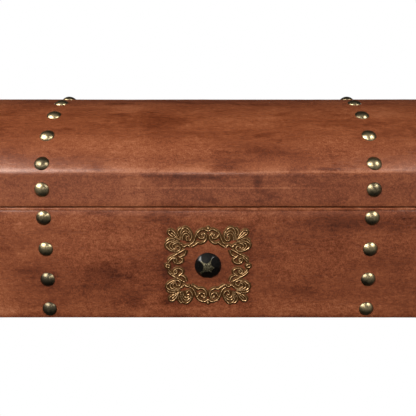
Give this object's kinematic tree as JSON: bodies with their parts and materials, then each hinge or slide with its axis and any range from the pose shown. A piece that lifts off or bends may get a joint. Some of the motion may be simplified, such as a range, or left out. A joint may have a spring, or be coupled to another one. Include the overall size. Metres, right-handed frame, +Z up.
{
  "type": "leather box",
  "caption": "Barrel-top leather-covered wooden box with a hinged lid, domed nails in columns, a pierced scroll ornament round a faceted boss, and a fabric-lined inside.",
  "frame": {"origin": "middle of the underside, on the surface that the box stands on", "axes": "+Z up, +X along the length to the right as seen from the front, the front faces -Y"},
  "size_m": [0.38, 0.191, 0.1652],
  "materials": {
    "carcass_wood": "plain sanded softwood",
    "leather": "reddish-brown, mottled, semi-matte, fine grain",
    "lining_fabric": "dark brown woven cloth over card",
    "felt": "dark brown felt",
    "stud_brass": "antiqued brass, dark in places",
    "filigree_brass": "stamped copper-gold brass, worn bright on the high edges",
    "boss_black": "black, polished flats, worn to grey metal on the ridges",
    "hinge_brass": "dull antique brass"
  },
  "bodies": {
    "base": {"base_front_board": "carcass_wood", "base_back_board": "carcass_wood", "base_left_board": "carcass_wood", "base_right_board": "carcass_wood", "base_floor_board": "carcass_wood", "base_leather": "leather", "base_lining_floor": "lining_fabric", "base_lining_front": "lining_fabric", "base_lining_back": "lining_fabric", "base_lining_left": "lining_fabric", "base_lining_right": "lining_fabric", "base_front_studs": "stud_brass", "base_back_studs": "stud_brass", "hinge_left_base_leaf": "hinge_brass", "hinge_left_pin": "hinge_brass", "hinge_right_base_leaf": "hinge_brass", "hinge_right_pin": "hinge_brass", "boss": "boss_black", "filigree": "filigree_brass", "base_felt": "felt"},
    "lid": {"lid_barrel_panel": "carcass_wood", "lid_front_rail": "carcass_wood", "lid_back_rail": "carcass_wood", "lid_left_end": "carcass_wood", "lid_right_end": "carcass_wood", "lid_leather_top": "leather", "lid_leather_left": "leather", "lid_leather_right": "leather", "lid_lining_top": "lining_fabric", "lid_lining_front": "lining_fabric", "lid_lining_back": "lining_fabric", "lid_lining_left": "lining_fabric", "lid_lining_right": "lining_fabric", "lid_studs": "stud_brass", "hinge_left_lid_leaf": "hinge_brass", "hinge_right_lid_leaf": "hinge_brass"}
  },
  "joints": [
    {"name": "lid_hinge", "type": "hinge", "parent": "base", "child": "lid", "pos_m": [0, 0.093, 0.0864], "axis": [-1, 0, 0], "range_deg": [0, 100]}
  ]
}
